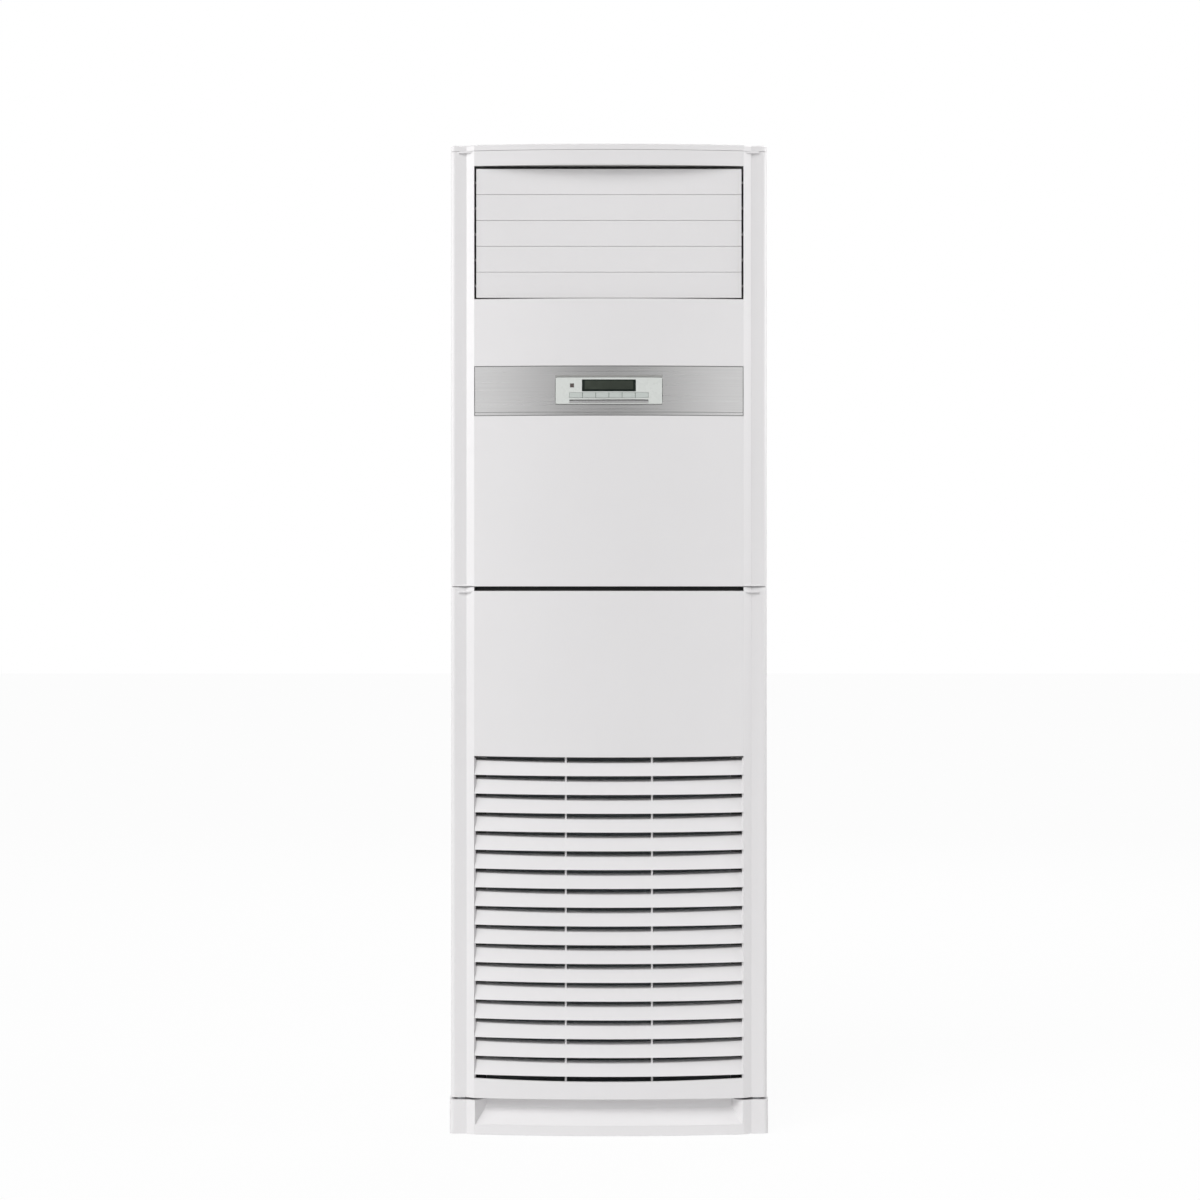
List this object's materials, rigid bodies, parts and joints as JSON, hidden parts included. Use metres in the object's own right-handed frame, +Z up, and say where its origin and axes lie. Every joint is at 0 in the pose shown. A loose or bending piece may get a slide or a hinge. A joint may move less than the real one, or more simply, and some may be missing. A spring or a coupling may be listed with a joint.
{
  "type": "floor standing air conditioner",
  "caption": "Tall floor standing air conditioner with a slotted intake that tilts open, a metal trim strip with a display, and coupled outlet louvers and vanes.",
  "frame": {"origin": "on the floor under the middle of the unit's width and depth", "axes": "+Z up along the height, the front faces -Y, +X to the right as seen from the front"},
  "size_m": [0.564, 0.37, 1.75],
  "materials": {
    "body_plastic": "satin",
    "louver_plastic": "satin",
    "plinth_plastic": "satin",
    "cabinet_paint": "satin paint",
    "zinc_sheet": "galvanised",
    "trim_metal": "brushed",
    "bezel_plastic": "gloss",
    "key_plastic": "satin",
    "lens_plastic": "smoked",
    "board": "lacquered",
    "duct_plastic": "satin",
    "vane_plastic": "satin",
    "link_plastic": "plain",
    "gear_motor": "zinc plated",
    "wheel_plastic": "plain",
    "shaft_steel": "turned",
    "motor_paint": "semi-gloss black",
    "fins": "coated",
    "copper": "drawn copper",
    "foam": "foam",
    "rubber": "plain",
    "feet_plastic": "plain",
    "gland_plastic": "plain",
    "filter_plastic": "plain",
    "filter_net": "woven net"
  },
  "bodies": {
    "unit": {"base_plinth": "plinth_plastic", "base_pan": "zinc_sheet", "base_feet": "feet_plastic", "rear_panel": "cabinet_paint", "left_side_panel": "cabinet_paint", "right_side_panel": "cabinet_paint", "top_cover": "body_plastic", "upper_front_panel": "body_plastic", "hinge_brackets": "zinc_sheet", "trim_strip": "trim_metal", "display_bezel": "bezel_plastic", "display_window": "lens_plastic", "indicator_lens": "lens_plastic", "display_board": "board", "outlet_frame": "duct_plastic", "louver_motor": "gear_motor", "vane_motor": "gear_motor", "volute_casing": "zinc_sheet", "inlet_ring": "zinc_sheet", "fan_motor": "motor_paint", "motor_bracket": "zinc_sheet", "partition_plate": "zinc_sheet", "evaporator_fins": "fins", "evaporator_tubes": "copper", "coil_end_plates": "zinc_sheet", "drain_pan": "duct_plastic", "control_box": "zinc_sheet", "control_box_lid": "zinc_sheet", "gas_pipe": "copper", "liquid_pipe": "copper", "air_duct_liner": "foam", "pipe_grommet": "rubber", "cable_gland": "gland_plastic", "wall_brackets": "zinc_sheet"},
    "lower_panel": {"lower_front_panel": "body_plastic"},
    "filter": {"filter_frame": "filter_plastic", "filter_mesh": "filter_net"},
    "louver_1": {"louver_1": "louver_plastic"},
    "louver_2": {"louver_2": "louver_plastic"},
    "louver_3": {"louver_3": "louver_plastic"},
    "louver_4": {"louver_4": "louver_plastic"},
    "louver_5": {"louver_5": "louver_plastic"},
    "louver_link": {"louver_link_bar": "link_plastic"},
    "vane_1": {"vane_1": "vane_plastic"},
    "vane_2": {"vane_2": "vane_plastic"},
    "vane_3": {"vane_3": "vane_plastic"},
    "vane_4": {"vane_4": "vane_plastic"},
    "vane_5": {"vane_5": "vane_plastic"},
    "vane_6": {"vane_6": "vane_plastic"},
    "vane_7": {"vane_7": "vane_plastic"},
    "vane_link": {"vane_link_bar": "link_plastic"},
    "blower": {"blower_wheel": "wheel_plastic", "fan_shaft": "shaft_steel"},
    "key_1": {"key_1": "key_plastic"},
    "key_2": {"key_2": "key_plastic"},
    "key_3": {"key_3": "key_plastic"},
    "key_4": {"key_4": "key_plastic"},
    "key_5": {"key_5": "key_plastic"},
    "key_6": {"key_6": "key_plastic"}
  },
  "joints": [
    {"name": "lower_panel_tilt", "type": "hinge", "parent": "unit", "child": "lower_panel", "pos_m": [0, -0.151, 0.07], "axis": [1, 0, 0], "range_deg": [0, 12]},
    {"name": "filter_slide", "type": "slide", "parent": "lower_panel", "child": "filter", "axis": [0, 0, 1], "range_m": [0, 0.2]},
    {"name": "louver_1_swing", "type": "hinge", "parent": "unit", "child": "louver_1", "pos_m": [0, -0.151, 1.50177], "axis": [-1, 0, 0], "range_deg": [0, 90]},
    {"name": "louver_2_swing", "type": "hinge", "parent": "unit", "child": "louver_2", "pos_m": [0, -0.151, 1.54751], "axis": [-1, 0, 0], "range_deg": [0, 90]},
    {"name": "louver_3_swing", "type": "hinge", "parent": "unit", "child": "louver_3", "pos_m": [0, -0.151, 1.59325], "axis": [-1, 0, 0], "range_deg": [0, 90]},
    {"name": "louver_4_swing", "type": "hinge", "parent": "unit", "child": "louver_4", "pos_m": [0, -0.151, 1.63899], "axis": [-1, 0, 0], "range_deg": [0, 90]},
    {"name": "louver_5_swing", "type": "hinge", "parent": "unit", "child": "louver_5", "pos_m": [0, -0.151, 1.68473], "axis": [-1, 0, 0], "range_deg": [0, 90]},
    {"name": "louver_link_pivot", "type": "hinge", "parent": "louver_3", "child": "louver_link", "pos_m": [0.246, -0.137, 1.59325], "axis": [-1, 0, 0], "range_deg": [-90, 0]},
    {"name": "vane_1_swing", "type": "hinge", "parent": "unit", "child": "vane_1", "pos_m": [-0.1785, -0.097, 1.594], "axis": [0, 0, 1], "range_deg": [-35, 35]},
    {"name": "vane_2_swing", "type": "hinge", "parent": "unit", "child": "vane_2", "pos_m": [-0.119, -0.097, 1.594], "axis": [0, 0, 1], "range_deg": [-35, 35]},
    {"name": "vane_3_swing", "type": "hinge", "parent": "unit", "child": "vane_3", "pos_m": [-0.0595, -0.097, 1.594], "axis": [0, 0, 1], "range_deg": [-35, 35]},
    {"name": "vane_4_swing", "type": "hinge", "parent": "unit", "child": "vane_4", "pos_m": [0, -0.097, 1.594], "axis": [0, 0, 1], "range_deg": [-35, 35]},
    {"name": "vane_5_swing", "type": "hinge", "parent": "unit", "child": "vane_5", "pos_m": [0.0595, -0.097, 1.594], "axis": [0, 0, 1], "range_deg": [-35, 35]},
    {"name": "vane_6_swing", "type": "hinge", "parent": "unit", "child": "vane_6", "pos_m": [0.119, -0.097, 1.594], "axis": [0, 0, 1], "range_deg": [-35, 35]},
    {"name": "vane_7_swing", "type": "hinge", "parent": "unit", "child": "vane_7", "pos_m": [0.1785, -0.097, 1.594], "axis": [0, 0, 1], "range_deg": [-35, 35]},
    {"name": "vane_link_pivot", "type": "hinge", "parent": "vane_4", "child": "vane_link", "pos_m": [0, -0.079, 1.468], "axis": [0, 0, 1], "range_deg": [-35, 35]},
    {"name": "blower_spin", "type": "hinge", "parent": "unit", "child": "blower", "pos_m": [-0.025, 0, 0.34], "axis": [0, 1, 0], "continuous": true},
    {"name": "key_1_press", "type": "slide", "parent": "unit", "child": "key_1", "axis": [0, 1, 0], "range_m": [0, 0.0012], "stiffness_N_per_m": 800},
    {"name": "key_2_press", "type": "slide", "parent": "unit", "child": "key_2", "axis": [0, 1, 0], "range_m": [0, 0.0012], "stiffness_N_per_m": 800},
    {"name": "key_3_press", "type": "slide", "parent": "unit", "child": "key_3", "axis": [0, 1, 0], "range_m": [0, 0.0012], "stiffness_N_per_m": 800},
    {"name": "key_4_press", "type": "slide", "parent": "unit", "child": "key_4", "axis": [0, 1, 0], "range_m": [0, 0.0012], "stiffness_N_per_m": 800},
    {"name": "key_5_press", "type": "slide", "parent": "unit", "child": "key_5", "axis": [0, 1, 0], "range_m": [0, 0.0012], "stiffness_N_per_m": 800},
    {"name": "key_6_press", "type": "slide", "parent": "unit", "child": "key_6", "axis": [0, 1, 0], "range_m": [0, 0.0012], "stiffness_N_per_m": 800}
  ],
  "couplings": [
    {"joint": "louver_1_swing", "follows": "louver_3_swing", "ratio": 1},
    {"joint": "louver_2_swing", "follows": "louver_3_swing", "ratio": 1},
    {"joint": "louver_4_swing", "follows": "louver_3_swing", "ratio": 1},
    {"joint": "louver_5_swing", "follows": "louver_3_swing", "ratio": 1},
    {"joint": "louver_link_pivot", "follows": "louver_3_swing", "ratio": -1},
    {"joint": "vane_1_swing", "follows": "vane_4_swing", "ratio": 1},
    {"joint": "vane_2_swing", "follows": "vane_4_swing", "ratio": 1},
    {"joint": "vane_3_swing", "follows": "vane_4_swing", "ratio": 1},
    {"joint": "vane_5_swing", "follows": "vane_4_swing", "ratio": 1},
    {"joint": "vane_6_swing", "follows": "vane_4_swing", "ratio": 1},
    {"joint": "vane_7_swing", "follows": "vane_4_swing", "ratio": 1},
    {"joint": "vane_link_pivot", "follows": "vane_4_swing", "ratio": -1}
  ]
}
